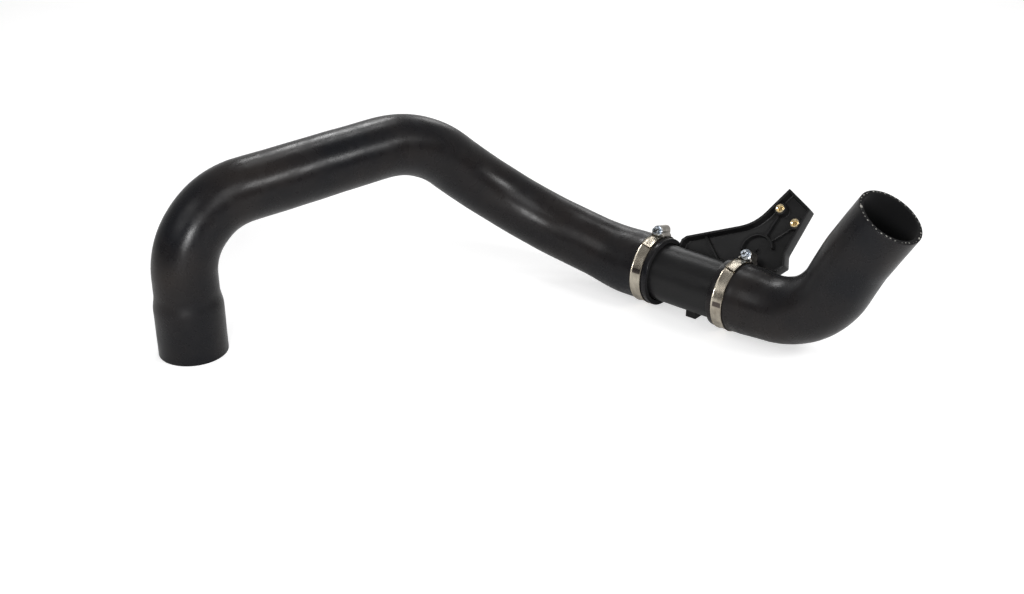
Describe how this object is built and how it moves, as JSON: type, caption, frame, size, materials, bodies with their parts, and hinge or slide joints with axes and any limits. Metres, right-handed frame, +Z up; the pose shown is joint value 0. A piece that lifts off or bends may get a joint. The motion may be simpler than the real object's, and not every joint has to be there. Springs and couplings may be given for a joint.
{
  "type": "intercooler pipe",
  "caption": "Charge-air pipe for a car engine bay: a long bent rubber hose and a rubber elbow joined by a moulded connector with a bracket, each hose held by a worm-drive clamp.",
  "frame": {"origin": "middle of the foot under the connector, on the surface that the pipe lies on", "axes": "+X along the connector's tube towards the elbow hose, +Z up, and the long hose's free end towards -Y"},
  "size_m": [0.5865, 0.4961, 0.1886],
  "materials": {
    "hose_rubber": "matte with a soft sheen",
    "elbow_rubber": "matte with a soft sheen",
    "black_plastic": "semi-gloss moulded, glass filled",
    "brass": "machined",
    "stainless_band": "bright rolled stainless strip",
    "pressed_steel": "pressed stainless sheet",
    "zinc_plated_steel": "bright zinc plate"
  },
  "bodies": {
    "pipe": {"long_hose": "hose_rubber", "elbow_hose": "elbow_rubber", "connector_pipe": "black_plastic", "insert_upper": "brass", "insert_lower": "brass", "inlet_clamp_band": "stainless_band", "inlet_clamp_housing": "pressed_steel", "outlet_clamp_band": "stainless_band", "outlet_clamp_housing": "pressed_steel"},
    "inlet_screw": {"inlet_clamp_screw": "zinc_plated_steel"},
    "outlet_screw": {"outlet_clamp_screw": "zinc_plated_steel"}
  },
  "joints": [
    {"name": "inlet_screw_turn", "type": "hinge", "parent": "pipe", "child": "inlet_screw", "pos_m": [-0.0525, 0.01059, 0.07481], "axis": [0, -0.9659, 0.2588], "continuous": true},
    {"name": "outlet_screw_turn", "type": "hinge", "parent": "pipe", "child": "outlet_screw", "pos_m": [0.0437, 0.02228, 0.0696], "axis": [0, -0.8387, 0.5446], "continuous": true}
  ]
}
